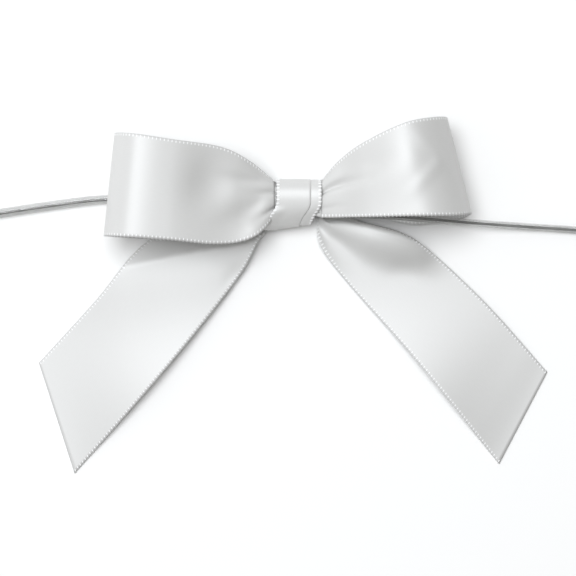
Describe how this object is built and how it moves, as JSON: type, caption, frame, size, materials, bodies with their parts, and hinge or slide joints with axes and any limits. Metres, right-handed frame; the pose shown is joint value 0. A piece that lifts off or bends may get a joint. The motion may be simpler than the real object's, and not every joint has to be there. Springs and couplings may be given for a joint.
{
  "type": "satin ribbon bow on a twist tie",
  "caption": "White satin ribbon bow with loops, slant-cut tails and a wrapped knot, on a clear wire twist tie that fastens it to a basket handle or a gift.",
  "frame": {"origin": "centre of the knot's flat back, on the surface that the bow lies on", "axes": "+X along the bow's width and its twist tie, +Y away from the tails, +Z out of the bow's front"},
  "size_m": [0.172, 0.079, 0.0176],
  "materials": {
    "satin": "white satin weave with a soft directional sheen",
    "tie_wire": "drawn steel wire",
    "tie_jacket": "clear glossy plastic film"
  },
  "bodies": {
    "knot": {"knot_wrap": "satin", "knot_layers_behind_tie": "satin", "knot_layers_over_tie": "satin", "tie_wire_centre": "tie_wire", "tie_jacket_centre": "tie_jacket"},
    "left_loop": {"left_loop": "satin"},
    "right_loop": {"right_loop": "satin", "tie_wire_in_right_loop": "tie_wire", "tie_jacket_in_right_loop": "tie_jacket"},
    "left_tail": {"left_tail": "satin"},
    "right_tail": {"right_tail": "satin"},
    "tie_left_leg": {"tie_wire_left_leg": "tie_wire", "tie_jacket_left_leg": "tie_jacket"},
    "tie_left_end": {"tie_wire_left_end": "tie_wire", "tie_jacket_left_end": "tie_jacket"},
    "tie_right_leg": {"tie_wire_right_leg": "tie_wire", "tie_jacket_right_leg": "tie_jacket"},
    "tie_right_end": {"tie_wire_right_end": "tie_wire", "tie_jacket_right_end": "tie_jacket"}
  },
  "joints": [
    {"name": "left_loop_lift", "type": "hinge", "parent": "knot", "child": "left_loop", "pos_m": [-0.0062, 0, 0.0064], "axis": [0, 1, 0], "range_deg": [0, 20], "stiffness_Nm_per_rad": 0.0002},
    {"name": "right_loop_lift", "type": "hinge", "parent": "knot", "child": "right_loop", "pos_m": [0.0062, 0, 0.0064], "axis": [0, -1, 0], "range_deg": [0, 20], "stiffness_Nm_per_rad": 0.0002},
    {"name": "left_tail_swing", "type": "hinge", "parent": "knot", "child": "left_tail", "pos_m": [-0.0062, -0.0029, 0], "axis": [0, 0, 1], "range_deg": [-6, 18], "stiffness_Nm_per_rad": 0.0002},
    {"name": "right_tail_swing", "type": "hinge", "parent": "knot", "child": "right_tail", "pos_m": [0.0062, -0.0029, 0], "axis": [0, 0, -1], "range_deg": [-6, 18], "stiffness_Nm_per_rad": 0.0002},
    {"name": "tie_left_swing", "type": "hinge", "parent": "knot", "child": "tie_left_leg", "pos_m": [-0.0475, 0.00076, 0.0014], "axis": [0, 0, -1], "range_deg": [-35, 75]},
    {"name": "tie_left_lift", "type": "hinge", "parent": "tie_left_leg", "child": "tie_left_end", "pos_m": [-0.06, -0.00094, 0.0014], "axis": [-0.148, 0.989, 0], "range_deg": [0, 80]},
    {"name": "tie_right_swing", "type": "hinge", "parent": "right_loop", "child": "tie_right_leg", "pos_m": [0.043, -0.00445, 0.00275], "axis": [0, 0, 1], "range_deg": [-35, 75]},
    {"name": "tie_right_lift", "type": "hinge", "parent": "tie_right_leg", "child": "tie_right_end", "pos_m": [0.0555, -0.00524, 0.00166], "axis": [-0.061, -0.9981, 0], "range_deg": [0, 80]}
  ]
}
